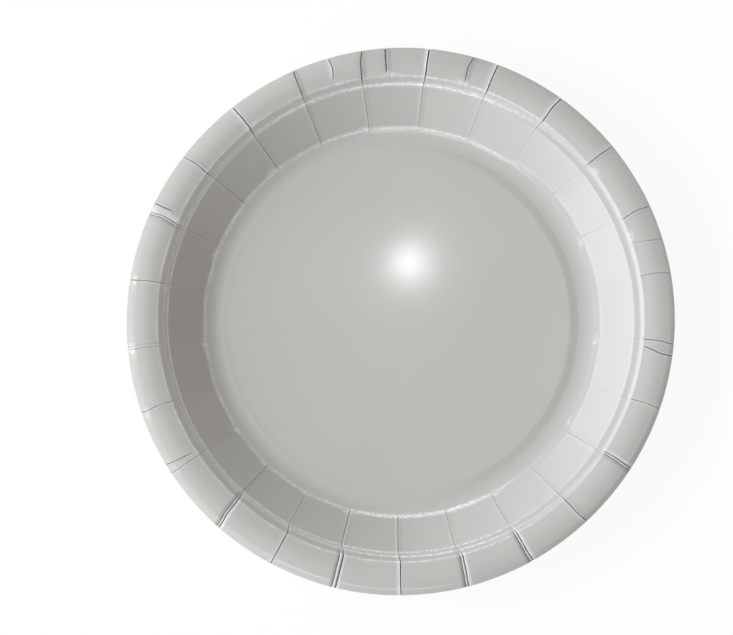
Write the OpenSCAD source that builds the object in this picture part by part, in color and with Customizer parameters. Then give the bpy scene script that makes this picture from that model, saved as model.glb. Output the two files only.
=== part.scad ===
// Round paper plate, pressed from one sheet of varnished paperboard.
//
// The sheet is one closed body of even thickness. From the middle outwards it has a
// slightly raised flat panel, a narrow foot ring that stands on the table, a curved
// foot, a sloping wall, a small ledge and riser, a wide rim with a soft crest and a
// turned-down lip. Scored pleats run from the foot of the wall to the lip. They take
// up the board that is spare when a flat round blank is pressed into a dish, so each
// one is as wide as the spare board at its radius asks for. Shorter tucks lie on the
// rim between them.
//
// Millimetres, +Z up. The plate stands on z = 0 and its axis is the Z axis.

/* [Overall size] */
// Diameter across the turned-down lip
plate_diameter = 230; // [150:1:320]
// Height from the table to the crest of the rim
plate_height = 18; // [11:0.5:30]
// Thickness of the board
board_thickness = 0.45; // [0.3:0.05:0.9]

/* [Base] */
// Height of the flat middle panel above the foot ring
panel_raise = 0.55; // [0.1:0.05:1.2]
// Radial run of the small step around the panel
step_run = 3.4; // [1.5:0.1:6]
// Width of the flat foot ring that stands on the table
foot_ring_width = 1.5; // [1:0.1:5]
// Radial run of the curve from the foot ring to the wall
foot_curve_run = 8.4; // [6:0.1:12]
// Slope in degrees at the outer end of that curve
foot_curve_slope = 19; // [5:1:30]

/* [Wall and rim] */
// Radial run of the sloping wall
wall_run = 13.1; // [8:0.1:22]
// Radial run of the ledge at the top of the wall
ledge_run = 1.75; // [1.5:0.05:5]
// Slope of the ledge in degrees
ledge_slope = 20; // [0:1:26]
// Radial run of the riser outside the ledge
riser_run = 2.25; // [1.5:0.05:5]
// Slope of the riser in degrees
riser_slope = 42; // [25:1:55]
// Radial run of the gentle slope outside the riser
rim_slope_run = 2.9; // [2:0.1:8]
// Angle of that gentle slope in degrees
rim_slope = 12; // [4:1:16]
// Radial run of the soft curve from there up to the crest
crest_run = 4.1; // [2:0.1:8]
// Radial run from the crest to the fold of the lip
brow_run = 3.4; // [2.5:0.1:8]
// Slope in degrees at the outer end of that run, below level
brow_slope = 5; // [1:1:15]
// Radial run of the turned-down lip
lip_run = 2.6; // [2:0.1:6]
// Slope of the lip in degrees below level
lip_slope = 26; // [18:1:60]

/* [Eased corners] */
// Length each side of the bend from the foot curve to the wall
bend_ease = 1.7; // [0.5:0.1:1.9]
// Length each side of the corner between wall and ledge
wall_ease = 0.45; // [0.2:0.05:0.7]
// Length each side of the corner between ledge and riser
ledge_ease = 0.4; // [0.2:0.05:0.7]
// Length each side of the corner between riser and rim
riser_ease = 0.5; // [0.2:0.05:0.75]
// Length each side of the fold of the lip
lip_ease = 0.8; // [0.3:0.1:1.1]

/* [Pleats] */
// Number of scored pleats
pleat_count = 25; // [12:1:30]
// Direction of the first pleat in degrees from +X
first_pleat_angle = 83.5; // [0:0.5:359.5]
// Distance of the point the scores radiate from to the middle of the plate
blank_shift = 2.7; // [0:0.1:5]
// Direction of that distance in degrees from +X
blank_shift_angle = 230; // [0:5:355]
// Share of the spare board that lies in the open groove of a pleat
pleat_gather = 0.5; // [0.2:0.05:0.8]
// Depth of the pleat grooves at the lip
pleat_depth = 0.35; // [0.05:0.05:0.4]
// Height of the folded ridges below the pleats at the lip
pleat_ridge = 0.35; // [0.1:0.05:0.6]
// Step where one side of a pleat laps over the other, at the lip
pleat_lap = 0.15; // [0:0.05:0.3]
// How unlike each other the pleats are in width
pleat_spread = 0.35; // [0:0.05:0.6]
// How far a pleat wanders sideways on its way over the rim
pleat_wander = 0.3; // [0:0.05:0.5]
// Share of a straight chord in the wall between two pleats, at its foot
panel_flatness = 0.6; // [0:0.05:1]
// The same share on the rim
rim_flatness = 0.04; // [0:0.01:0.1]

/* [Rim tucks] */
// Width of the short tucks on the rim
tuck_width = 0.9; // [0.5:0.05:1.5]
// Depth of the tucks at the lip
tuck_depth = 0.3; // [0.05:0.05:0.4]
// Radial length of the soft start of a tuck
tuck_start_run = 3; // [1:0.1:6]

/* [Hidden] */
board_grey = "#BEBFBA";

// Where the short tucks lie, in degrees from +X
tuck_angles = [74.7, 37.0, 17.7, 352.7, 212.3, 154.8, 105.4, 93.3];
// Longest straight piece of a ring, in degrees
panel_step = 5;
// Least half width of a pleat, at the foot of the wall
least_half = 0.2;
// Angles between the stations of one fold, before the fold is given its width
fold_step = 0.4;
// Least angles from a pleat to a tuck, and from a tuck to a station of a panel
pleat_clear = 2.2;
tuck_clear = 1.6;
// Radial run inside the bend in which the pleats begin
pleat_start_run = 3;
// Turns that make each fold a little unlike its neighbours: from fold to fold, between
// pleats and tucks, of the wander, and of the side that is lapped over
fold_turn = 137.5;
tuck_turn = 40;
wander_turn = 30;
lap_turn = 25;
// Turn of the wander for each millimetre outwards, and the run in which it begins
wander_rate = 22;
wander_start_run = 6;

// Radii of the lines where one zone of the plate meets the next
edge_r = plate_diameter / 2;
lip_r = edge_r - lip_run;
top_r = lip_r - brow_run;
crest_r = top_r - crest_run;
riser_r = crest_r - rim_slope_run;
ledge_r = riser_r - riser_run;
wall_r = ledge_r - ledge_run;
foot_r = wall_r - wall_run;
ring_r = foot_r - foot_curve_run;
step_r = ring_r - foot_ring_width;
panel_r = step_r - step_run;

// Heights of the upper face on those lines
ring_z = board_thickness;
panel_z = ring_z + panel_raise;
foot_z = ring_z + foot_curve_run * tan(foot_curve_slope) / 2;
lip_z = plate_height - brow_run * tan(brow_slope) / 2;
crest_z = plate_height - crest_run * tan(rim_slope) / 2;
riser_z = crest_z - rim_slope_run * tan(rim_slope);
ledge_z = riser_z - riser_run * tan(riser_slope);
wall_z = ledge_z - ledge_run * tan(ledge_slope);
edge_z = lip_z - lip_run * tan(lip_slope);

pitch = 360 / pleat_count;

function bounded(x) = min(1, max(0, x));
function eased(x) = let (c = bounded(x)) c * c * (3 - 2 * c);
function turned(a) = a - 360 * floor(a / 360);
function between(a, b) = abs(turned(a - b + 180) - 180);
function unit(v) = v / norm(v);

// A corner of the section, eased by cutting it back by the length given
function eased_corner(before, corner, after, back) = [
    corner + back * unit(before - corner),
    corner + back * unit(after - corner)
];

// The same with a third point on the curve between them
function soft_corner(before, corner, after, back) = let (
        ends = eased_corner(before, corner, after, back)
    ) [
        ends[0],
        (ends[0] + ends[1] + 2 * corner) / 4,
        ends[1]
    ];

// Upper line of the section inside the foot curve, from the panel outwards
inner_line = [
    [panel_r, panel_z],
    [step_r, ring_z],
    [ring_r, ring_z]
];

// Points of the foot curve and of the curve up to the crest
function foot_curve(x) = [
    ring_r + foot_curve_run * x,
    ring_z + (foot_z - ring_z) * x * x
];
function crest_curve(x) = [
    crest_r + crest_run * x,
    plate_height - (plate_height - crest_z) * pow(1 - x, 2)
];

foot_point = [foot_r, foot_z];
wall_point = [wall_r, wall_z];
ledge_point = [ledge_r, ledge_z];
riser_point = [riser_r, riser_z];
crest_point = [crest_r, crest_z];
top_point = [top_r, plate_height];
lip_point = [lip_r, lip_z];
edge_point = [edge_r, edge_z];

// Upper line of the section from the foot curve to the edge
outer_line = concat(
    [foot_curve(1 / 3), foot_curve(2 / 3)],
    soft_corner(foot_curve(2 / 3), foot_point, wall_point, bend_ease),
    eased_corner(foot_point, wall_point, ledge_point, wall_ease),
    eased_corner(wall_point, ledge_point, riser_point, ledge_ease),
    eased_corner(ledge_point, riser_point, crest_point, riser_ease),
    [crest_point, crest_curve(0.5), top_point],
    eased_corner(top_point, lip_point, edge_point, lip_ease),
    [edge_point]
);

line = concat([[0, panel_z]], inner_line, outer_line);
inner_count = len(inner_line);
outer_count = len(outer_line);

// Slope of the section at each of its points, and how far an even thickness
// reaches there when it is measured square to both neighbours
function heading(k) = let (
        d = line[min(k + 1, len(line) - 1)] - line[min(k, len(line) - 2)]
    ) atan2(d[1], d[0]);
function slope_at(k) = k == 0 ? 0 : (heading(k - 1) + heading(k)) / 2;
function reach_at(k) = k == 0 ? 1 : 1 / cos((heading(k) - heading(k - 1)) / 2);

// Length of the section from the axis to each of its points, and the width of
// board that is spare there for each pleat
function walked(k) = k == 0 ? 0 : walked(k - 1) + norm(line[k] - line[k - 1]);
function spare_at(k) = 360 / pleat_count * PI / 180 * (walked(k) - line[k][0]);
spare_at_edge = spare_at(len(line) - 1);

// How strongly pleats, tucks and flat panels show at a point of the section
function pleat_share(k) =
    eased((line[k][0] - foot_r + pleat_start_run) / pleat_start_run)
    * bounded(spare_at(k) / spare_at_edge);
function tuck_share(k) = eased((line[k][0] - riser_r) / tuck_start_run);
function flat_share(k) = let (r = line[k][0])
    r < foot_r
        ? panel_flatness * eased((r - ring_r) / foot_curve_run)
        : max(rim_flatness, panel_flatness * (1 - (r - foot_r) / (wall_r - foot_r)));

// A station is a line from the middle of the blank to its edge. It holds its angle,
// its side of a fold (-1, 0 or 1), what it belongs to (0 panel, 1 pleat, 2 tuck)
// and the number of its fold.
function blank_angle(seen, r) = seen - asin(blank_shift / r * sin(blank_shift_angle - seen));

pleat_angles = [for (k = [0 : pleat_count - 1]) turned(first_pleat_angle + k * pitch)];
tucks = [
    for (seen = tuck_angles)
    let (a = turned(blank_angle(seen, crest_r)))
    if (min([for (p = pleat_angles) between(a, p)]) > pleat_clear)
    a
];
panel_parts = ceil(pitch / panel_step);
panel_angles = [
    for (p = pleat_angles, m = [1 : panel_parts - 1])
    let (a = turned(p + pitch * m / panel_parts))
    if (len(tucks) == 0 || min([for (q = tucks) between(a, q)]) > tuck_clear)
    a
];

fold_sides = [-1, 0, 1];
all_stations = concat(
    [
        for (k = [0 : pleat_count - 1], side = fold_sides)
        [pleat_angles[k] + fold_step * side, pleat_angles[k], side, 1, k]
    ],
    [
        for (k = [0 : 1 : len(tucks) - 1], side = fold_sides)
        [tucks[k] + fold_step * side, tucks[k], side, 2, k]
    ],
    [for (a = panel_angles) [a, a, 0, 0, 0]]
);

function sorted(list) = len(list) < 2 ? list : let (
        pivot = list[floor(len(list) / 2)][0]
    ) concat(
        sorted([for (s = list) if (s[0] < pivot) s]),
        [for (s = list) if (s[0] == pivot) s],
        sorted([for (s = list) if (s[0] > pivot) s])
    );

stations = sorted(all_stations);
fine = len(stations);
middles = [for (j = [0 : fine - 1]) if (stations[j][2] == 0) j];
coarse = len(middles);

// Each fold has its own width and wanders in its own way, both by a plain rule
function fold_width(s) = 1 + pleat_spread * sin(fold_turn * s[4] + tuck_turn * s[3]);
function fold_lap_side(s) = sin(lap_turn - fold_turn * s[4]) > 0 ? 1 : -1;
function fold_half(k, s) = s[3] == 2
    ? max(least_half, tuck_width / 2 * tuck_share(k))
    : max(least_half, pleat_gather * spare_at(k) / 2 * fold_width(s));
function fold_wander(k, s) = s[3] == 0
    ? 0
    : pleat_wander * eased((line[k][0] - wall_r) / wander_start_run)
        * sin(fold_turn * s[4] + wander_turn + wander_rate * (line[k][0] - wall_r));

// Angle of a station at a point of the section
function station_angle(k, s) = let (
        r = line[k][0],
        aside = fold_wander(k, s) + s[2] * fold_half(k, s),
        a = s[1] + aside / r * 180 / PI
    ) a + asin(blank_shift / r * sin(blank_shift_angle - a));

// Radius factor that turns the arc between two pleats into its chord
function chord_factor(k, s) = let (
        m = turned(s[1] - first_pleat_angle),
        inside = m - pitch * floor(m / pitch) - pitch / 2,
        full = cos(pitch / 2) / cos(inside)
    ) 1 + flat_share(k) * (full - 1);

// Rise of the upper face and drop of the lower face at a fold
function fold_strength(k, s) = s[3] == 1 ? pleat_share(k) : s[3] == 2 ? tuck_share(k) : 0;
function upper_lift(k, s) = let (
        f = fold_strength(k, s),
        deep = s[3] == 2 ? tuck_depth : pleat_depth
    )
    s[3] == 0 ? 0
    : s[2] == 0 ? -deep * f
    : s[2] == fold_lap_side(s) ? pleat_lap * f
    : 0;
function lower_drop(k, s) = s[2] == 0 && s[3] > 0 ? pleat_ridge * fold_strength(k, s) : 0;

// Points of the upper and the lower face
function on_face(k, s, off) = let (
        a = station_angle(k, s),
        tilt = slope_at(k),
        r = line[k][0] * chord_factor(k, s) - off * sin(tilt),
        z = line[k][1] + off * cos(tilt)
    ) [r * cos(a), r * sin(a), z];
function upper(k, s) = on_face(k, s, upper_lift(k, s));
function lower(k, s) = on_face(k, s, -board_thickness * reach_at(k) - lower_drop(k, s));

plate_points = concat(
    [[0, 0, panel_z]],
    [for (k = [1 : inner_count], j = middles) upper(k, stations[j])],
    [for (k = [1 : outer_count], s = stations) upper(inner_count + k, s)],
    [for (k = [outer_count : -1 : 1], s = stations) lower(inner_count + k, s)],
    [for (k = [inner_count : -1 : 1], j = middles) lower(k, stations[j])],
    [[0, 0, panel_z - board_thickness]]
);

// First point of each ring
upper_inner = 1;
upper_outer = upper_inner + inner_count * coarse;
lower_outer = upper_outer + outer_count * fine;
lower_inner = lower_outer + outer_count * fine;
last_point = lower_inner + inner_count * coarse;

function next(j, n) = (j + 1) % n;

// Triangles between two rings of the same number of points
function band(a, b, n) = [
    for (j = [0 : n - 1], half = [0, 1])
    half == 0
        ? [a + j, a + next(j, n), b + next(j, n)]
        : [a + j, b + next(j, n), b + j]
];

// Triangles between a coarse ring and the fine ring around it, and back
function span(j) = let (
        start = middles[j],
        stop = middles[next(j, coarse)]
    ) [start, stop > start ? stop : stop + fine];
function widen(a, b) = [
    for (j = [0 : coarse - 1])
    let (s = span(j))
    for (f = [s[0] : s[1]])
    f < s[1]
        ? [a + j, b + (f + 1) % fine, b + f % fine]
        : [a + j, a + next(j, coarse), b + f % fine]
];
function narrow(a, b) = [
    for (j = [0 : coarse - 1])
    let (s = span(j))
    for (f = [s[0] : s[1]])
    f < s[1]
        ? [b + j, a + f % fine, a + (f + 1) % fine]
        : [b + j, a + f % fine, b + next(j, coarse)]
];

plate_faces = concat(
    [for (j = [0 : coarse - 1]) [0, upper_inner + next(j, coarse), upper_inner + j]],
    [
        for (k = [0 : inner_count - 2])
        each band(upper_inner + k * coarse, upper_inner + (k + 1) * coarse, coarse)
    ],
    widen(upper_inner + (inner_count - 1) * coarse, upper_outer),
    [
        for (k = [0 : 2 * outer_count - 2])
        each band(upper_outer + k * fine, upper_outer + (k + 1) * fine, fine)
    ],
    narrow(lower_outer + (outer_count - 1) * fine, lower_inner),
    [
        for (k = [0 : inner_count - 2])
        each band(lower_inner + k * coarse, lower_inner + (k + 1) * coarse, coarse)
    ],
    [
        for (j = [0 : coarse - 1])
        let (ring = lower_inner + (inner_count - 1) * coarse)
        [last_point, ring + j, ring + next(j, coarse)]
    ]
);

// The whole plate, one sheet
module plate() {
    color(board_grey)
    polyhedron(points = plate_points, faces = plate_faces, convexity = 6);
}

plate();
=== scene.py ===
# Round paper plate, pressed from one scored sheet of gloss-varnished paperboard.
# The file goes from the camera to the pressed sheet, its board and varnish, the table
# and the light. The sheet's sizes are in mm. Clock angles are in degrees clockwise from
# the top of the photo.

import math

import bpy
import numpy as np
from mathutils import Matrix, Vector, noise


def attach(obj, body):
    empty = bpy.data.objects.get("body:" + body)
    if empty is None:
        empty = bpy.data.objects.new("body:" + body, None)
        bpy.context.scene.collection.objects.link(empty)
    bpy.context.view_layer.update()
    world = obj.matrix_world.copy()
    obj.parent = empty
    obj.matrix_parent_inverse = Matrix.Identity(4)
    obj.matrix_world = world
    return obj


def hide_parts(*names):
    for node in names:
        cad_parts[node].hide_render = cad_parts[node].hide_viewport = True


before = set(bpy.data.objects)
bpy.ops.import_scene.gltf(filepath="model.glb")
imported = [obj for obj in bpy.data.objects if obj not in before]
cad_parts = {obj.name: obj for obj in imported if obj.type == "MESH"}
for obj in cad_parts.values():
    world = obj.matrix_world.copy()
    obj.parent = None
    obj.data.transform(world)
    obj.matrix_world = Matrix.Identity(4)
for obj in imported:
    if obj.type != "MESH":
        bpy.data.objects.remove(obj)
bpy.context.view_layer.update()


# The camera. It looks down on the plate from two metres above through a long lens,
# tipped a few degrees towards the lower left. The plate is a little right of the middle.

photo_width = 733
frame_middle_px = (366.0, 317.0)
plate_middle_px = (400.6, 320.3)
mm_per_px = 0.4188
camera_distance = 1.983
film_width = 36
rim_height = 0.0163

toward = Vector((-0.0250, -0.0620, 1)).normalized()
up = (Vector((0, 1, 0)) - toward * toward.y).normalized()
right = up.cross(toward)
camera_data = bpy.data.cameras.new("photo_camera")
camera = bpy.data.objects.new("photo_camera", camera_data)
bpy.context.scene.collection.objects.link(camera)
camera.matrix_world = Matrix.Translation(
    Vector((0, 0, rim_height)) + toward * camera_distance
) @ Matrix((right, up, toward)).transposed().to_4x4()
camera_data.sensor_width = film_width
camera_data.lens = film_width * camera_distance * 1000 / (photo_width * mm_per_px)
camera_data.shift_x = -(plate_middle_px[0] - frame_middle_px[0]) / photo_width
camera_data.shift_y = (plate_middle_px[1] - frame_middle_px[1]) / photo_width
camera_data.clip_end = 10
bpy.context.scene.camera = camera


# The pressed sheet. One round blank of paperboard is scored with straight lines and
# pressed between two heated dies. The section below is that of the upper die.

board = 0.45
edge_r = 114.83
crest_z = 17.9

# The radii of the corners, and the slopes of the straight runs between them in degrees
panel_r = 71.9
step_r = 75.4
foot_corner_r = 80.6
bend_r = 85.0
wall_r = 97.7
ledge_r = 100.0
riser_r = 101.9
slope_r = 106.2
crest_r = 109.2
lip_r = 112.6
panel_raise = 0.55
foot_slope, ledge_slope, riser_slope = 24, 20, 42
rim_slope, crest_rise, crest_fall, lip_slope = 12, 2.2, 3.2, 16.5


def rise(run, degrees):
    """How far the section climbs over a run at a slope."""
    return run * math.tan(math.radians(degrees))


bend_z = board + rise(bend_r - foot_corner_r, foot_slope)
slope_z = crest_z - rise(crest_r - slope_r, crest_rise)
riser_z = slope_z - rise(slope_r - riser_r, rim_slope)
ledge_z = riser_z - rise(riser_r - ledge_r, riser_slope)
wall_z = ledge_z - rise(ledge_r - wall_r, ledge_slope)
lip_z = crest_z - rise(lip_r - crest_r, crest_fall)
edge_z = lip_z - rise(edge_r - lip_r, lip_slope)

# Radius, height and how far each side the corner is eased
section = [
    (0.0, board + panel_raise, 0),
    (panel_r, board + panel_raise, 0.35),
    (step_r, board, 0.35),
    (foot_corner_r, board, 3.9),
    (bend_r, bend_z, 0.3),
    (wall_r, wall_z, 0.5),
    (ledge_r, ledge_z, 0.8),
    (riser_r, riser_z, 0.5),
    (slope_r, slope_z, 1.9),
    (crest_r, crest_z, 1.0),
    (lip_r, lip_z, 1.0),
    (edge_r, edge_z, 0),
]


def eased_line(corners):
    """The line through the corners, each turned into a short smooth bend."""
    line = [corners[0][:2]]
    for before, corner, after in zip(corners, corners[1:], corners[2:]):
        tip = np.array(corner[:2])
        back = np.array(before[:2]) - tip
        ahead = np.array(after[:2]) - tip
        first = tip + back / np.linalg.norm(back) * corner[2]
        last = tip + ahead / np.linalg.norm(ahead) * corner[2]
        for t in np.linspace(0, 1, 13):
            line.append(tuple((1 - t) ** 2 * first + 2 * t * (1 - t) * tip + t * t * last))
    line.append(corners[-1][:2])
    return np.array(line)


upper_line = eased_line(section)

# Everywhere but on the right, the board was pressed hard at the wall's foot. The narrow
# strip it was pressed into is steeper at the bottom of the photo than at the top.
curve_r, curve_slope = 78.9, 19
crease_r, hard_r = 82.15, 83.35
top_strip_slope, bottom_strip_slope = 20.3, 27.7
crease_z = board + rise(crease_r - curve_r, curve_slope)


def creased_line(strip_slope):
    """The section with the pressed strip between the foot curve and the wall."""
    hard_z = crease_z + rise(hard_r - crease_r, strip_slope)
    strip = [(curve_r, board, 2.3), (crease_r, crease_z, 0.3), (hard_r, hard_z, 0.3)]
    return eased_line(section[:3] + strip + section[5:])


# Where the rings of the mesh lie: far apart on the flat panel and the straight wall,
# close together at every bend. Each zone is given by its ends and the step between.
ring_zones = [
    (20, 62, 14), (64, 70.3, 2.4), (70.8, 76.3, 0.5), (76.9, 80.8, 0.65), (81.1, 82.9, 0.15),
    (83.2, 86.7, 0.35), (87.6, 96.5, 1.5), (97.2, 100.4, 0.2), (100.7, 101.3, 0.3),
    (101.5, 103.1, 0.2), (103.5, 108.3, 0.45), (108.9, 110.6, 0.6), (111.1, 113.9, 0.28),
    (114.2, edge_r - 0.1, 0.3), (edge_r - 0.02, edge_r, 0.1),
]
ring_r = np.concatenate([
    np.linspace(start, stop, round((stop - start) / step) + 1) for start, stop, step in ring_zones
])
ring_z = np.interp(ring_r, upper_line[:, 0], upper_line[:, 1])
ring_slope = np.arctan(np.interp(
    ring_r,
    (upper_line[1:, 0] + upper_line[:-1, 0]) / 2,
    np.diff(upper_line[:, 1]) / np.maximum(np.diff(upper_line[:, 0]), 1e-6),
))
top_strip_rise = np.interp(ring_r, *creased_line(top_strip_slope).T) - ring_z
bottom_strip_rise = np.interp(ring_r, *creased_line(bottom_strip_slope).T) - ring_z
ring_count = len(ring_r)

# The closed section: the middle, the upper face out to the edge, the cut edge, and the
# lower face back on every second ring
lower_rings = np.arange(ring_count - 1, -1, -2)
line_of = np.concatenate([[0], np.arange(ring_count), lower_rings, [0]])
closed_r = np.concatenate([
    [0], ring_r, (ring_r + board * np.sin(ring_slope))[lower_rings], [0],
])
closed_z = np.concatenate([
    [ring_z[0]], ring_z, (ring_z - board * np.cos(ring_slope))[lower_rings], [ring_z[0] - board],
])

# Score lines, one row a pleat. The clock angle is where the line crosses the wall. Then
# come how far the pleat strays clockwise at the riser, the middle of the rim and the
# lip, half its width, its depth, and how the board lies: a groove, one side lapped
# over the other, or a flat double fold.
pleats = [
    (5.5, 0.4, 0.5, 0.8, 0.50, 0.72, "left"),
    (20.4, 0.35, 0.4, 0.5, 0.45, 0.60, "left"),
    (35.2, 0.5, 0.45, 1.0, 0.50, 0.55, "left"),
    (50.1, 0.3, 0.4, 0.8, 0.35, 0.50, "groove"),
    (64.9, 1.2, 0.3, 0.5, 0.40, 0.40, "groove"),
    (79.6, 0.0, 0.0, 0.5, 0.35, 0.32, "groove"),
    (94.4, 0.3, 0.45, 1.0, 0.40, 0.42, "groove"),
    (109.0, 0.1, -0.3, -0.4, 0.35, 0.34, "right"),
    (123.4, -0.5, -0.7, -1.0, 0.50, 0.50, "double"),
    (137.8, -0.2, -0.4, -1.4, 0.35, 0.50, "groove"),
    (152.2, -0.8, -1.0, -1.5, 0.52, 0.52, "double"),
    (166.5, -1.6, -1.4, -1.1, 0.55, 0.45, "double"),
    (180.6, -0.8, -0.8, -1.1, 0.42, 0.60, "right"),
    (194.7, -1.2, -1.2, -1.0, 0.82, 0.50, "double"),
    (208.5, -1.1, -1.0, -0.6, 0.60, 0.28, "right"),
    (222.6, -0.7, -1.3, -2.0, 0.50, 0.50, "double"),
    (236.4, -1.0, -0.8, -0.4, 0.40, 0.22, "groove"),
    (250.5, -0.4, -0.4, -0.4, 0.35, 0.28, "groove"),
    (264.6, -1.1, -1.1, -1.1, 0.60, 0.24, "double"),
    (278.7, -0.2, -0.3, -0.3, 0.40, 0.38, "left"),
    (293.0, -0.4, 0.6, 0.5, 0.50, 0.40, "double"),
    (307.3, -0.3, -0.15, -0.4, 0.40, 0.40, "groove"),
    (321.5, 0.4, 0.4, 0.4, 0.60, 0.52, "left"),
    (336.2, 0.3, 0.45, 1.0, 0.45, 0.58, "right"),
    (351.0, -0.2, 0.2, 1.6, 0.55, 0.58, "right"),
]

# Tucks, which lie on the rim alone, in the same terms and with the radius where each ends
tucks = [
    (15.3, -0.2, -0.8, 0.5, 0.50, 0.50, "right", 102.6),
    (53.0, -1.3, -0.3, 0.8, 0.40, 0.12, "groove", 101.8),
    (72.3, -1.3, -0.1, 0.15, 0.35, 0.24, "groove", 101.8),
    (97.3, -2.0, 0.1, 0.1, 0.42, 0.55, "groove", 101.8),
    (237.7, -1.1, 0.0, 1.3, 0.40, 0.38, "groove", 103.0),
    (295.2, 0.3, 0.2, 0.8, 0.42, 0.58, "groove", 105.0),
    (344.6, -1.2, 0.3, -0.3, 0.42, 0.55, "left", 104.4),
    (356.7, 0.1, 0.0, 0.0, 0.60, 0.70, "right", 103.2),
]

# A fold from its left to its right: how far aside as shares of half its width, how high
# on the upper face as shares of its depth, how much painted shade darkens its shut gap,
# and how high on the lower face
fold_aside = {
    "groove": [-1.9, -1.0, -0.42, 0.0, 0.42, 1.0, 1.9],
    "left": [-2.1, -1.1, -0.38, 0.0, 0.42, 1.0, 1.9],
    "right": [-1.9, -1.0, -0.42, 0.0, 0.38, 1.1, 2.1],
    "double": [-1.45, -1.0, -0.6, 0.0, 0.6, 1.0, 1.45],
}
fold_lift = {
    "groove": [0.0, 0.22, -0.3, -1.0, -0.3, 0.22, 0.0],
    "left": [0.0, 0.32, 0.42, -1.0, -0.35, -0.05, 0.0],
    "right": [0.0, -0.05, -0.35, -1.0, 0.42, 0.32, 0.0],
    "double": [0.0, -0.9, 0.2, 0.25, 0.2, -0.8, 0.0],
}
fold_gap_shade = {
    "groove": [0.0, 0.0, 0.35, 1.0, 0.35, 0.0, 0.0],
    "left": [0.0, 0.0, 0.1, 1.0, 0.5, 0.0, 0.0],
    "right": [0.0, 0.0, 0.5, 1.0, 0.1, 0.0, 0.0],
    "double": [0.0, 1.0, 0.1, 0.0, 0.1, 0.9, 0.0],
}
fold_under = np.array([0.0, -0.2, -0.8, -1.0, -0.8, -0.2, 0.0])
places = len(fold_under)
middle_place = places // 2

# One column of the mesh for each place across a fold, and even ones between folds
folds = sorted([pleat + (0,) for pleat in pleats] + tucks)
sectors = 8
widest_gap = 1.4
fold_margin = 1.3
columns = []
for number, fold in enumerate(folds):
    following = folds[number + 1][0] if number + 1 < len(folds) else folds[0][0] + 360
    columns += [(fold[0], number, place) for place in range(places)]
    start, stop = fold[0] + fold_margin, following - fold_margin
    if stop > start:
        steps = max(2, math.ceil((stop - start) / widest_gap) + 1)
        columns += [(between, -1, 0) for between in np.linspace(start, stop, steps)]

# The spin makes equal sectors, so the last gap takes a few columns more
spare = -len(columns) % sectors
last_angle = [c for c in columns if c[1] < 0][-1][0]
last_gap = folds[0][0] + 360 - last_angle
columns += [(last_angle + last_gap * 0.12 * (k + 1) / (spare + 1), -1, 0) for k in range(spare)]
column_count = len(columns)

# Spin the section. A plane is drawn together into one point, the section is drawn
# from it point by point, the line is spun through one sector, and the sector is
# copied round.
bpy.ops.object.select_all(action="DESELECT")
bpy.ops.mesh.primitive_plane_add(size=0.01, location=(0, 0, 0))
plate = bpy.context.object
plate.name = "pressed_plate"
bpy.ops.object.mode_set(mode="EDIT")
bpy.ops.mesh.merge(type="CENTER")
bpy.ops.transform.translate(value=(0, 0, closed_z[0] / 1000))
for dr, dz in zip(np.diff(closed_r), np.diff(closed_z)):
    bpy.ops.mesh.extrude_region_move(TRANSFORM_OT_translate={"value": (dr / 1000, 0, dz / 1000)})
bpy.ops.mesh.select_all(action="SELECT")
bpy.ops.mesh.spin(
    steps=column_count // sectors, angle=2 * math.pi / sectors, center=(0, 0, 0), axis=(0, 0, 1)
)
bpy.ops.mesh.select_all(action="SELECT")
bpy.ops.mesh.spin(steps=sectors, angle=2 * math.pi, center=(0, 0, 0), axis=(0, 0, 1), dupli=True)
bpy.ops.mesh.select_all(action="SELECT")
bpy.ops.mesh.remove_doubles(threshold=1e-6)
bpy.ops.mesh.normals_make_consistent(inside=False)
bpy.ops.object.mode_set(mode="OBJECT")

# Find the ring and the column of each vertex again
count = len(plate.data.vertices)
spun = np.empty(count * 3)
plate.data.vertices.foreach_get("co", spun)
spun = spun.reshape(count, 3) * 1000
spun_r = np.hypot(spun[:, 0], spun[:, 1])
spun_z = spun[:, 2]
ring = np.argmin((spun_r[:, None] - closed_r) ** 2 + (spun_z[:, None] - closed_z) ** 2, axis=1)
clock = np.mod(90 - np.degrees(np.arctan2(spun[:, 1], spun[:, 0])), 360)
column = np.mod(np.round(clock / 360 * column_count).astype(int), column_count)
on_top = ring <= ring_count
line = line_of[ring]
slope = ring_slope[line]
r = np.where(spun_r < 1e-4, 0, ring_r[line])

column_angle = np.mod([c[0] for c in columns], 360)
column_fold = np.array([c[1] for c in columns])
angle = column_angle[column]
in_fold = column_fold[column] >= 0
fold_of = np.clip(column_fold, 0, None)[column]
place_of = np.array([c[2] for c in columns])[column]


def climb(value, start, stop):
    """0 up to the start, 1 from the stop on, and a smooth climb between."""
    x = np.clip((value - start) / (stop - start), 0, 1)
    return x * x * (3 - 2 * x)


def facing(clock_angle):
    """1 at a clock angle, 0 a quarter round from it, and -1 on the other side."""
    return np.cos(np.radians(angle - clock_angle))


def past(clock_angle):
    """Degrees clockwise of a clock angle, from -180 to 180."""
    return np.mod(angle - clock_angle + 180, 360) - 180


def uneven(waves, seed):
    """An unevenness round the plate, mostly between -1 and 1."""
    circle = waves / (2 * math.pi)
    round_plate = [
        2 * noise.noise((circle * math.sin(a), circle * math.cos(a), seed * 7.3))
        for a in np.radians(column_angle)
    ]
    return np.array(round_plate)[column]


# The pleats stray from their scores on the rim, and the board between goes with them
stray_radii = [97, 102.5, 109.5, 114.6]
angles_round = [folds[-1][0] - 360] + [fold[0] for fold in folds] + [folds[0][0] + 360]
stray = np.zeros(count)
for number in range(ring_count):
    strays = [np.interp(ring_r[number], stray_radii, [0, *fold[1:4]]) for fold in folds]
    on_ring = line == number
    stray[on_ring] = np.interp(angle[on_ring], angles_round, [strays[-1]] + strays + [strays[0]])

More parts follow.
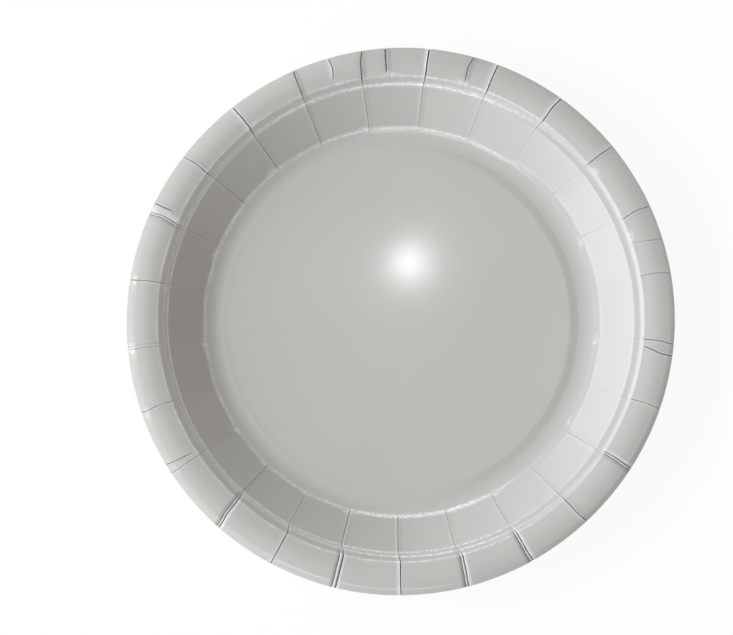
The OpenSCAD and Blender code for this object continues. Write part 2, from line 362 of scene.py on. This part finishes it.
# A pleat grows from the foot of the wall to the lip, because the spare board does. On
# the wall it was pressed flatter at the upper right and at the left. A tuck grows from
# the radius where it ends.
half_width = np.array([fold[4] for fold in folds])[fold_of]
depth = np.array([fold[5] for fold in folds])[fold_of]
tuck_end = np.array([fold[7] for fold in folds])[fold_of]
wall_share = 0.6 - 0.3 * climb(facing(57), 0.2, 0.9) - 0.28 * climb(facing(266), 0.75, 0.95)
rim_share = 0.92
pleat_share = (
    wall_share * climb(r, 80.9, 82.5)
    + 0.08 * climb(r, 97, 99.5)
    + (rim_share - wall_share) * climb(r, 100.5, 103)
)
tuck_share = climb(r, tuck_end, tuck_end + 2)
share = np.where(tuck_end > 0, tuck_share, pleat_share) * in_fold
on_rim = climb(r, 97, 102)


def own_shape(shapes):
    """What the shapes of the folds say at the place of each vertex."""
    return np.array([shapes[fold[6]] for fold in folds])[fold_of, place_of]


def across_fold(shapes):
    """A groove's shape on the wall, which turns into the fold's own on the rim."""
    groove = np.array(shapes["groove"])[place_of]
    return groove + on_rim * (own_shape(shapes) - groove)


narrowest_half = 0.25
half_here = np.maximum(narrowest_half, half_width * (0.5 + 0.5 * on_rim))
aside = stray + half_here * across_fold(fold_aside) * in_fold
lift = share * depth * across_fold(fold_lift)
drop = share * depth * fold_under[place_of]

# A shut fold gap is darkened with painted shade for the shadow inside it, less for a shallow fold and on
# the wall
full_shade_depth = 0.6
shut_shade = (0.2 + 0.8 * on_rim) * share * np.clip(depth / full_shade_depth, 0, 1)
gap_shade = shut_shade * across_fold(fold_gap_shade)

# Between two scores the wall runs straighter at its foot than a ring does, like a panel
pleat_angles = np.array([pleat[0] for pleat in pleats])
next_angles = np.append(pleat_angles[1:], pleat_angles[0] + 360)
turned = np.where(angle < pleat_angles[0], angle + 360, angle)
which = np.searchsorted(pleat_angles, turned, side="right") - 1
middle = (pleat_angles[which] + next_angles[which]) / 2
half_panel = (next_angles[which] - pleat_angles[which]) / 2
chord = np.cos(np.radians(half_panel)) / np.cos(np.radians(turned - middle))
straightest, straightest_r = 0.38, 82
up_wall = np.clip(1 - 0.9 * (r - straightest_r) / (wall_r - straightest_r), 0.08, 1)
straight = straightest * np.where(r < straightest_r, climb(r, 77.3, straightest_r), up_wall)
drawn_in = 1 + straight * (chord - 1)

# Fine raised lines run along the corners of the die, where the board is nipped and its
# varnish wrinkled. They are higher and lower from place to place, and low at the right.
# Row: radius, half width, height, share of it at the top of the photo.
nipped = [
    (82.35, 0.42, 0.035, 1.0), (97.9, 0.22, 0.02, 0.0),
    (99.6, 0.20, 0.02, 1.0), (102.0, 0.24, 0.03, 1.0),
]
# Along these lines the wrinkled varnish is also painted lighter, a painted highlight, weakly at the right
bead = np.zeros(count)
wrinkle_and_highlight = np.zeros(count)
for seed, (radius, width, height, top_share) in enumerate(nipped):
    off_line = r - radius - 0.12 * uneven(40, seed)
    strength = np.clip(0.85 + 0.35 * uneven(110, seed + 5), 0.3, 1.3)
    strength *= 1 - 0.8 * climb(facing(92), 0.5, 0.8)
    strength *= 1 - (1 - top_share) * climb(facing(10), 0.3, 0.7)
    bead += height * strength * np.exp(-(off_line / width) ** 2)
    wrinkle_and_highlight = np.maximum(wrinkle_and_highlight, 0.55 * strength * np.exp(-(off_line / (1.5 * width)) ** 2))

# The varnish is wrinkled along the folds too, the more so the deeper they are, and painted lighter there
# as a highlight
near_fold = np.abs(own_shape(fold_aside)) < 1.2
wrinkle_and_highlight = np.maximum(wrinkle_and_highlight, 0.6 * share * depth * near_fold)

# The wrinkles and their painted highlight are strongest at the top and bottom. Row:
# radius, half width, clock angle, how far to each side, strength.
wrinkle_highlight_bands = [
    (98.9, 0.40, 7, 22, 1.5), (82.3, 0.36, 12, 26, 1.2), (102.0, 0.35, 14, 24, 0.8),
    (82.3, 0.68, 174, 21, 1.9), (97.9, 0.30, 177, 24, 0.9), (99.6, 0.30, 177, 24, 1.0),
    (102.0, 0.30, 177, 26, 0.9), (82.3, 0.4, 345, 14, 0.8), (98.9, 0.5, 335, 14, 0.7),
]
for radius, width, clock_angle, reach, strength in wrinkle_highlight_bands:
    band = np.exp(-((r - radius) / width) ** 2 - (past(clock_angle) / reach) ** 4)
    wrinkle_and_highlight = np.maximum(wrinkle_and_highlight, strength * band)

# Small wrinkled patches, painted lighter as highlights, lie at the ends of the folds. Row: clock angle,
# radius, size.
wrinkle_highlight_patches = [
    (66.2, 83.2, 1.0), (95.6, 82.8, 1.1), (121, 82.8, 0.7), (151, 83.2, 0.8),
    (195.5, 83.4, 1.1), (208.5, 83, 0.5), (223.5, 83, 0.9), (236.4, 83, 1.0),
    (263, 83, 1.3), (290, 83, 1.4), (319.5, 83.3, 1.4), (349, 83, 1.1),
    (5, 83, 0.5), (35.5, 83, 0.6), (14.4, 102.6, 1.2), (53.0, 102.7, 1.1),
    (70.3, 102.8, 1.2), (322.8, 102.4, 0.8), (346.2, 102.2, 0.9), (357.9, 102.8, 0.9),
    (249.9, 113.2, 0.9), (264.4, 113.2, 1.2), (278.3, 113.2, 0.9), (36.2, 102.2, 0.5),
    (294.0, 99.9, 0.5), (277.0, 99.9, 0.8), (236.0, 112.6, 0.5),
]
for clock_angle, radius, size in wrinkle_highlight_patches:
    along = np.radians(past(clock_angle)) * r / (1.8 * size)
    outward = (r - radius) / (0.9 * size)
    wrinkle_and_highlight = np.maximum(wrinkle_and_highlight, 0.8 * np.exp(-along ** 2 - outward ** 2))

# The outline is a little longer on one diagonal, and its edge waves up and down
outer = climb(r, 99, 115)
longer = 0.56 * np.cos(2 * np.radians(angle - 46)) + 0.12 * uneven(9, 21)
wave = 0.14 * outer * (uneven(11, 31) - 0.8)

# The blank lay 0.6 mm low in the press, so inside the rim the pressed form is that much
# up. Its corners from the wall to the rim lie further up still, and to the right.
pressed = 1 - climb(r, 107, 114)
shift_right, shift_up = -0.08 * pressed, 0.59 * pressed
shifted_radii = [86, 98, 100, 102, 107]
ring_right = np.interp(r, shifted_radii, [0, 0.15, 0.90, 0.05, 0])
ring_up = np.interp(r, shifted_radii, [0, 0.41, 0.41, 0.48, 0])

# The lip's fold is nearer the edge at the upper right
fold_shift = 0.75 * facing(50)
to_fold = np.clip((r - 108.5) / (lip_r - 108.5), 0, 1)
past_fold = np.clip((edge_r - r) / (edge_r - lip_r), 0, 1)
moved = fold_shift * np.where(r < lip_r, to_fold, past_fold)
sink = np.where(
    r < lip_r,
    rise(moved, crest_fall),
    rise(fold_shift, crest_fall) + rise(moved - fold_shift, lip_slope),
)

# The lip is turned down a few degrees more or less from place to place, by clock angle.
# The rim rises a little at the right.
lip_turns = [
    (0, -1), (28, 0), (57, -5), (86, -2), (130, 6), (159, 3),
    (187, 2), (243, 0), (271, 0), (300, -4), (328, -3), (360, -1),
]
turn_down = np.maximum(r - lip_r, 0) * np.tan(np.radians(np.interp(angle, *zip(*lip_turns))))
raised_from_r = 104
raised = 0.026 * climb(facing(95), -0.1, 0.8) * np.clip(r - raised_from_r, 0, lip_r - raised_from_r)

# Each fold leaves a small nick in the edge
nick = -0.18 * share * (place_of == middle_place) * climb(r, 113.2, 114.7)

# The panel lies a little lower on the left, and the step fades out there
on_panel = 1 - climb(r, panel_r - 0.5, step_r - 0.5)
lowered = 0.25 * (1 - r * facing(90) / panel_r)
no_step = climb(facing(262), -0.35, 0.25) * climb(r, 40, 70)
lowered = on_panel * (lowered + no_step * (panel_raise - lowered))

# The pressed strip is missing at the right
strip_share = 1 - climb(facing(92), 0.45, 0.8)
bottom_share = climb(facing(172), -5 / 9, 5 / 9)
strip_rise = top_strip_rise[line] + bottom_share * (bottom_strip_rise - top_strip_rise)[line]

# Put every vertex in its place. Folds, beads and the board's thickness are measured
# square to the section. Inside the foot ring nothing strays further round.
foot_ring_r = 72
above = np.where(on_top, lift + bead, drop - board)
shaped_r = r * drawn_in + moved + longer * outer + nick - above * np.sin(slope)
shaped_r += ring_right * facing(90) + ring_up * facing(0)
shaped_z = ring_z[line] - sink + wave + raised - turn_down + above * np.cos(slope)
shaped_z += strip_share * strip_rise - lowered
heading = np.radians(angle) + aside / np.maximum(r, foot_ring_r)
x = shaped_r * np.sin(heading) + shift_right
y = shaped_r * np.cos(heading) + shift_up
plate.data.vertices.foreach_set("co", (np.stack([x, y, shaped_z], axis=1) / 1000).ravel())
plate.data.update()
# The painted shade of the shut fold gaps, and the mask of wrinkles and their painted highlight, go to the
# varnish as attributes
for name, values in (("painted_gap_shade", gap_shade * on_top), ("wrinkle_and_highlight", wrinkle_and_highlight * on_top)):
    layer = plate.data.attributes.new(name, "FLOAT", "POINT")
    layer.data.foreach_set("value", values.astype(np.float32))


# The board's two faces. The upper one is white-lined paperboard printed a light warm
# grey and gloss varnished: a smooth skin with a fine orange peel, which turns to fine
# wrinkles along nipped corners and folds.

# In metres: how far apart the patterns lie from crest to crest, and how high they stand
peel_pitch, peel_height = 0.0009, 0.000006
wrinkle_pitch, wrinkle_height = 0.0006, 0.00003
wrinkles_a_radian = 90
cloud_pitch = 0.045
fibre_pitch, fibre_height = 0.0016, 0.00008


def linear(hex_colour):
    """An sRGB hex colour as linear red, green, blue and alpha."""
    values = [int(hex_colour[i:i + 2], 16) / 255 for i in (1, 3, 5)]
    return [v / 12.92 if v <= 0.04045 else ((v + 0.055) / 1.055) ** 2.4 for v in values] + [1]


def add_node(owner, kind, settings=None, links=None):
    """Adds a node, sets its properties or inputs by name or number, and links its inputs."""
    node = owner.node_tree.nodes.new(kind)
    for name, value in (settings or {}).items():
        if isinstance(name, int) or name in node.inputs:
            node.inputs[name].default_value = value
        else:
            setattr(node, name, value)
    for name, socket in (links or {}).items():
        owner.node_tree.links.new(socket, node.inputs[name])
    return node


varnished = bpy.data.materials.new("varnished_grey_board")
varnished.use_nodes = True
varnished.node_tree.nodes.clear()
spot = add_node(varnished, "ShaderNodeTexCoord").outputs["Object"]
gap_shade_mask = add_node(varnished, "ShaderNodeAttribute", {"attribute_name": "painted_gap_shade"})
wrinkle_highlight_mask = add_node(varnished, "ShaderNodeAttribute", {"attribute_name": "wrinkle_and_highlight"})

# The peel of the varnish is a few micrometres high
peel = add_node(
    varnished, "ShaderNodeTexNoise",
    {"Scale": 1 / peel_pitch, "Detail": 2.0, "Roughness": 0.6}, {"Vector": spot},
)
peel_bump = add_node(
    varnished, "ShaderNodeBump",
    {"Strength": 1.0, "Distance": peel_height}, {"Height": peel.outputs["Fac"]},
)

# The wrinkles where it is nipped run round the plate and are twice as long as they are
# far apart. They are drawn coarser than real ones, which are finer than the photo shows.
flat_spot = add_node(
    varnished, "ShaderNodeVectorMath", {"operation": "MULTIPLY", 1: (1, 1, 0)}, {0: spot},
)
way_out = add_node(
    varnished, "ShaderNodeVectorMath", {"operation": "NORMALIZE"}, {0: flat_spot.outputs[0]},
)
radius = add_node(
    varnished, "ShaderNodeVectorMath", {"operation": "LENGTH"}, {0: flat_spot.outputs[0]},
)
round_way = add_node(
    varnished, "ShaderNodeVectorMath",
    {"operation": "MULTIPLY", 1: (wrinkles_a_radian, wrinkles_a_radian, 0)}, {0: way_out.outputs[0]},
)
outward = add_node(
    varnished, "ShaderNodeMath",
    {"operation": "MULTIPLY", 1: 1 / wrinkle_pitch}, {0: radius.outputs["Value"]},
)
outward_z = add_node(varnished, "ShaderNodeCombineXYZ", {}, {"Z": outward.outputs[0]})
polar_spot = add_node(
    varnished, "ShaderNodeVectorMath",
    {"operation": "ADD"}, {0: round_way.outputs[0], 1: outward_z.outputs[0]},
)
wrinkle_noise = add_node(
    varnished, "ShaderNodeTexNoise",
    {"Scale": 1.0, "Detail": 2.0, "Roughness": 0.6, "Distortion": 0.6}, {"Vector": polar_spot.outputs[0]},
)
wrinkle = add_node(
    varnished, "ShaderNodeMapRange",
    {"From Min": 0.42, "From Max": 0.60}, {"Value": wrinkle_noise.outputs["Fac"]},
)
wrinkled = add_node(
    varnished, "ShaderNodeMath",
    {"operation": "MULTIPLY"}, {0: wrinkle.outputs[0], 1: wrinkle_highlight_mask.outputs["Fac"]},
)
skin_bump = add_node(
    varnished, "ShaderNodeBump", {"Strength": 1.0, "Distance": wrinkle_height},
    {"Height": wrinkled.outputs[0], "Normal": peel_bump.outputs["Normal"]},
)

# Painted highlight: wrinkled varnish is painted near white, most of all on the wrinkles' crests, standing
# in for the glints along the corners
crest_highlight = add_node(
    varnished, "ShaderNodeMath",
    {"operation": "MULTIPLY_ADD", 1: 1.1, 2: 0.2}, {0: wrinkle.outputs[0]},
)
painted_highlight = add_node(
    varnished, "ShaderNodeMath",
    {"operation": "MULTIPLY"}, {0: crest_highlight.outputs[0], 1: wrinkle_highlight_mask.outputs["Fac"]},
)

# The print is a shade uneven over the hand's breadth, and a shut gap is darkened with painted shade
cloud = add_node(
    varnished, "ShaderNodeTexNoise",
    {"Scale": 1 / cloud_pitch, "Detail": 2.0, "Roughness": 0.5}, {"Vector": spot},
)
print_tone = add_node(
    varnished, "ShaderNodeMix", {"data_type": "RGBA", 6: linear("#BCBBB7"), 7: linear("#C1C0BC")},
    {0: cloud.outputs["Fac"]},
)
highlighted_tone = add_node(
    varnished, "ShaderNodeMix", {"data_type": "RGBA", 7: linear("#F2F1EE")},
    {0: painted_highlight.outputs[0], 6: print_tone.outputs[2]},
)
# Painted shade: the shut gaps of the folds are darkened towards a dark grey
tone_with_painted_light = add_node(
    varnished, "ShaderNodeMix", {"data_type": "RGBA", 7: linear("#4A4742")},
    {0: gap_shade_mask.outputs["Fac"], 6: highlighted_tone.outputs[2]},
)
skin_normal = skin_bump.outputs["Normal"]
skin = add_node(
    varnished, "ShaderNodeBsdfPrincipled",
    {"Roughness": 0.45, "IOR": 1.45, "Coat Weight": 1.0, "Coat Roughness": 0.10, "Coat IOR": 1.5},
    {"Base Color": tone_with_painted_light.outputs[2], "Normal": skin_normal, "Coat Normal": skin_normal},
)
add_node(varnished, "ShaderNodeOutputMaterial", {}, {"Surface": skin.outputs["BSDF"]})

# The lower face and the cut edge are plain uncoated board with a fine fibre
bare = bpy.data.materials.new("uncoated_paperboard")
bare.use_nodes = True
bare.node_tree.nodes.clear()
spot = add_node(bare, "ShaderNodeTexCoord").outputs["Object"]
fibre = add_node(
    bare, "ShaderNodeTexNoise",
    {"Scale": 1 / fibre_pitch, "Detail": 4.0, "Roughness": 0.7}, {"Vector": spot},
)
fibre_bump = add_node(
    bare, "ShaderNodeBump",
    {"Strength": 0.3, "Distance": fibre_height}, {"Height": fibre.outputs["Fac"]},
)
pulp_tone = add_node(
    bare, "ShaderNodeMix", {"data_type": "RGBA", 6: linear("#DDDAD0"), 7: linear("#E8E5DC")},
    {0: fibre.outputs["Fac"]},
)
pulp = add_node(
    bare, "ShaderNodeBsdfPrincipled", {"Roughness": 0.85, "IOR": 1.45},
    {"Base Color": pulp_tone.outputs[2], "Normal": fibre_bump.outputs["Normal"]},
)
add_node(bare, "ShaderNodeOutputMaterial", {}, {"Surface": pulp.outputs["BSDF"]})

# A face is varnished if all its corners are on the upper face of the sheet
plate.data.materials.append(varnished)
plate.data.materials.append(bare)
faces = plate.data.polygons
face_start = np.empty(len(faces), dtype=int)
faces.foreach_get("loop_start", face_start)
corner_vertex = np.empty(len(plate.data.loops), dtype=int)
plate.data.loops.foreach_get("vertex_index", corner_vertex)
all_top = np.minimum.reduceat(on_top[corner_vertex].astype(int), face_start)
faces.foreach_set("material_index", (1 - all_top).astype(int))
bpy.ops.object.select_all(action="DESELECT")
plate.select_set(True)
bpy.context.view_layer.objects.active = plate
bpy.ops.object.shade_smooth_by_angle(angle=math.radians(75))

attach(plate, "root")
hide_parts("plate")


# The table: a plain white surface. To the camera and in reflections it is an even white
# that keeps a soft trace of the plate's shadow.

glow_share = 0.93


def seen_rays(owner):
    """1 for the camera's rays and those of reflections and clear things, 0 for light."""
    ray = add_node(owner, "ShaderNodeLightPath")
    seen = add_node(
        owner, "ShaderNodeMath", {"operation": "MAXIMUM"},
        {0: ray.outputs["Is Camera Ray"], 1: ray.outputs["Is Glossy Ray"]},
    )
    seen = add_node(
        owner, "ShaderNodeMath", {"operation": "MAXIMUM"},
        {0: seen.outputs[0], 1: ray.outputs["Is Transmission Ray"]},
    )
    return seen.outputs[0]


bpy.ops.object.select_all(action="DESELECT")
bpy.ops.mesh.primitive_plane_add(size=6, location=(0, 0, 0))
table = bpy.context.object
table.name = "white_table"
paper_white = bpy.data.materials.new("white_table")
paper_white.use_nodes = True
paper_white.node_tree.nodes.clear()
matt = add_node(paper_white, "ShaderNodeBsdfDiffuse", {"Color": linear("#F2F2F2")})
glow = add_node(paper_white, "ShaderNodeEmission", {"Strength": 1.0})
amount = add_node(
    paper_white, "ShaderNodeMath",
    {"operation": "MULTIPLY", 1: glow_share}, {0: seen_rays(paper_white)},
)
mixed = add_node(
    paper_white, "ShaderNodeMixShader", {},
    {0: amount.outputs[0], 1: matt.outputs["BSDF"], 2: glow.outputs[0]},
)
add_node(paper_white, "ShaderNodeOutputMaterial", {}, {"Surface": mixed.outputs[0]})
table.data.materials.append(paper_white)


# The light. Two window boxes stand low on the left, two thin strips light the pressed
# corners from above and below, and a small lamp makes the bright spot on the panel. The
# room is dim, but plain white to the camera and in reflections.

room = bpy.context.scene.world or bpy.data.worlds.new("room")
bpy.context.scene.world = room
room.use_nodes = True
room.node_tree.nodes.clear()
way = add_node(room, "ShaderNodeTexCoord").outputs["Generated"]
side = add_node(room, "ShaderNodeSeparateXYZ", {}, {0: way})
from_left = add_node(
    room, "ShaderNodeMapRange", {"From Min": -0.4, "From Max": 0.8}, {"Value": side.outputs["X"]},
)
walls = add_node(
    room, "ShaderNodeMix", {"data_type": "RGBA", 6: linear("#F0F4F7"), 7: linear("#FFE8DD")},
    {0: from_left.outputs[0]},
)


def direction(height_angle, clock_angle):
    """The way to a thing, from its angle above the table and its clock angle."""
    level, turn = math.radians(height_angle), math.radians(clock_angle)
    return (math.cos(level) * math.sin(turn), math.cos(level) * math.cos(turn), math.sin(level))


# The room's evenly dim light, and each glow on its walls: its angle above the table,
# clock angle, how many times wider than high, how wide, strength
brightness = add_node(room, "ShaderNodeValue").outputs[0]
brightness.default_value = 0.11
glows = [(32, 268, 2.6, 76, 0.6), (8, 270, 4.0, 76, 4.15), (20, 80, 2.0, 60, 0.14)]
for height_angle, clock_angle, stretch, spread, gain in glows:
    squeezed = add_node(
        room, "ShaderNodeVectorMath", {"operation": "MULTIPLY", 1: (1, 1, stretch)}, {0: way},
    )
    unit = add_node(
        room, "ShaderNodeVectorMath", {"operation": "NORMALIZE"}, {0: squeezed.outputs[0]},
    )
    nearness = add_node(
        room, "ShaderNodeVectorMath",
        {"operation": "DOT_PRODUCT", 1: direction(height_angle, clock_angle)}, {0: unit.outputs[0]},
    )
    glow = add_node(
        room, "ShaderNodeMapRange",
        {"From Min": math.cos(math.radians(spread)), "From Max": 1.0, "To Min": 0.0, "To Max": gain},
        {"Value": nearness.outputs["Value"]},
    )
    total = add_node(room, "ShaderNodeMath", {"operation": "ADD"}, {0: glow.outputs[0], 1: brightness})
    brightness = total.outputs[0]
lit = add_node(room, "ShaderNodeBackground", {}, {"Color": walls.outputs[2], "Strength": brightness})
white = add_node(room, "ShaderNodeBackground", {"Strength": 1.0, "Color": linear("#FFFFFF")})
mixed = add_node(
    room, "ShaderNodeMixShader", {}, {0: seen_rays(room), 1: lit.outputs[0], 2: white.outputs[0]},
)
add_node(room, "ShaderNodeOutputWorld", {}, {"Surface": mixed.outputs[0]})


def softbox(name, height_angle, clock_angle, distance, width, height, radiance, colour):
    """A flat lamp that faces the plate. Its angles are as seen from the plate."""
    way = Vector(direction(height_angle, clock_angle))
    data = bpy.data.lights.new(name, "AREA")
    data.shape = "RECTANGLE"
    data.size = width
    data.size_y = height
    data.energy = radiance * math.pi * width * height
    data.color = linear(colour)[:3]
    box = bpy.data.objects.new(name, data)
    bpy.context.scene.collection.objects.link(box)
    box.location = way * distance
    box.rotation_euler = way.to_track_quat("Z", "Y").to_euler()


softbox("window_wide", 36, 269, 0.75, 1.4, 0.24, 3.25, "#FBFDFF")
softbox("window", 36, 269, 0.75, 0.9, 0.24, 3.75, "#FBFDFF")
softbox("strip_below", 60.3, 188, 1.2, 0.5, 0.10, 3.6, "#FFFDFA")
softbox("strip_above", 36.5, 353, 1.2, 0.7, 0.08, 3.6, "#FFFDFA")

lamp_place = Vector((0.0188, 0.0813, 0.75))
lit_place = Vector((0.0, 0.0255, 0))
lamp_data = bpy.data.lights.new("lamp", "SPOT")
lamp_data.energy = 0.145
lamp_data.shadow_soft_size = 0.003
lamp_data.spot_size = math.radians(8.4)
lamp_data.spot_blend = 0.7
lamp = bpy.data.objects.new("lamp", lamp_data)
bpy.context.scene.collection.objects.link(lamp)
lamp.location = lamp_place
lamp.rotation_euler = (lamp_place - lit_place).to_track_quat("Z", "Y").to_euler()

bpy.context.scene.view_settings.view_transform = "Standard"
